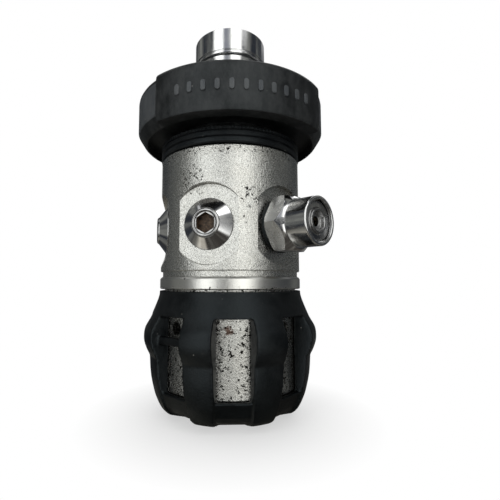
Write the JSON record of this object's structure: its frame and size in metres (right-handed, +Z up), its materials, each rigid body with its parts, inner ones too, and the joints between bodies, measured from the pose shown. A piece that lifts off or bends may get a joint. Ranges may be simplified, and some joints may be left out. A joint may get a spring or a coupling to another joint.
{
  "type": "scuba regulator first stage",
  "caption": "Breathing-gas regulator first stage with a threaded inlet, hand wheel, blanked side ports, relief valve and a windowed rubber boot over its water chamber.",
  "frame": {"origin": "middle of the flat base of the rubber boot", "axes": "+Z up the main axis towards the threaded inlet; -Y is the front; the relief valve points to -Y and +X"},
  "size_m": [0.0516, 0.0536, 0.1036],
  "materials": {
    "satin_metal": "sandblasted satin chrome plate over brass, worn and speckled",
    "polished_metal": "polished chrome plate over brass, lightly hazed",
    "stainless": "drawn or turned stainless steel",
    "inner_brass": "turned brass",
    "sintered_bronze": "porous sintered bronze",
    "boot_rubber": "moulded black rubber, slightly greyed with wear",
    "seal_rubber": "smooth black nitrile",
    "wheel_plastic": "soft-touch black moulded plastic",
    "collar_plastic": "matt black ring with two turned grooves",
    "white_plastic": "machined acetal"
  },
  "bodies": {
    "root": {"protective_boot": "boot_rubber", "diaphragm_housing": "satin_metal", "body": "satin_metal", "top_collar": "collar_plastic", "diaphragm": "seal_rubber", "main_spring": "stainless", "valve_seat": "stainless", "seat_oring": "seal_rubber", "poppet_spring": "stainless", "balance_guide": "white_plastic", "din_retainer": "polished_metal", "retainer_oring": "seal_rubber", "din_face_oring": "seal_rubber", "inlet_filter": "sintered_bronze", "filter_circlip": "stainless", "port_plug_1": "polished_metal", "port_plug_2": "polished_metal", "port_plug_3": "polished_metal", "port_plug_4": "polished_metal", "port_plug_5": "polished_metal", "plug_oring_1": "seal_rubber", "plug_oring_2": "seal_rubber", "plug_oring_3": "seal_rubber", "plug_oring_4": "seal_rubber", "plug_oring_5": "seal_rubber", "relief_valve_body": "polished_metal", "relief_valve_oring": "seal_rubber", "relief_valve_spring": "stainless", "relief_valve_cap": "polished_metal"},
    "wheel": {"handwheel": "wheel_plastic", "coupling_sleeve": "polished_metal"},
    "valve_train": {"valve_poppet": "inner_brass", "poppet_seat_insert": "white_plastic", "lifter_pin": "stainless", "spring_pad": "inner_brass"},
    "washer": {"thrust_washer": "stainless"},
    "adjusting_screw": {"adjuster": "inner_brass"},
    "relief": {"relief_poppet": "inner_brass"}
  },
  "joints": [
    {"name": "handwheel_spin", "type": "hinge", "parent": "root", "child": "wheel", "pos_m": [0, 0, 0.0788], "axis": [0, 0, 1], "continuous": true},
    {"name": "valve_close", "type": "slide", "parent": "root", "child": "valve_train", "axis": [0, 0, -1], "range_m": [0, 0.001], "stiffness_N_per_m": 400, "deforming": ["main_spring", "poppet_spring", "diaphragm"]},
    {"name": "adjuster_lift", "type": "slide", "parent": "root", "child": "washer", "axis": [0, 0, 1], "range_m": [-0.0005, 0.0005]},
    {"name": "adjuster_turn", "type": "hinge", "parent": "washer", "child": "adjusting_screw", "pos_m": [0, 0, 0.008], "axis": [0, 0, 1], "range_deg": [-185, 185]},
    {"name": "relief_lift", "type": "slide", "parent": "root", "child": "relief", "axis": [0.682, -0.7314, 0], "range_m": [0, 0.0008], "stiffness_N_per_m": 1500, "deforming": ["relief_valve_spring"]}
  ],
  "couplings": [
    {"joint": "adjuster_turn", "follows": "adjuster_lift", "rad_per_m": 6283.2}
  ]
}
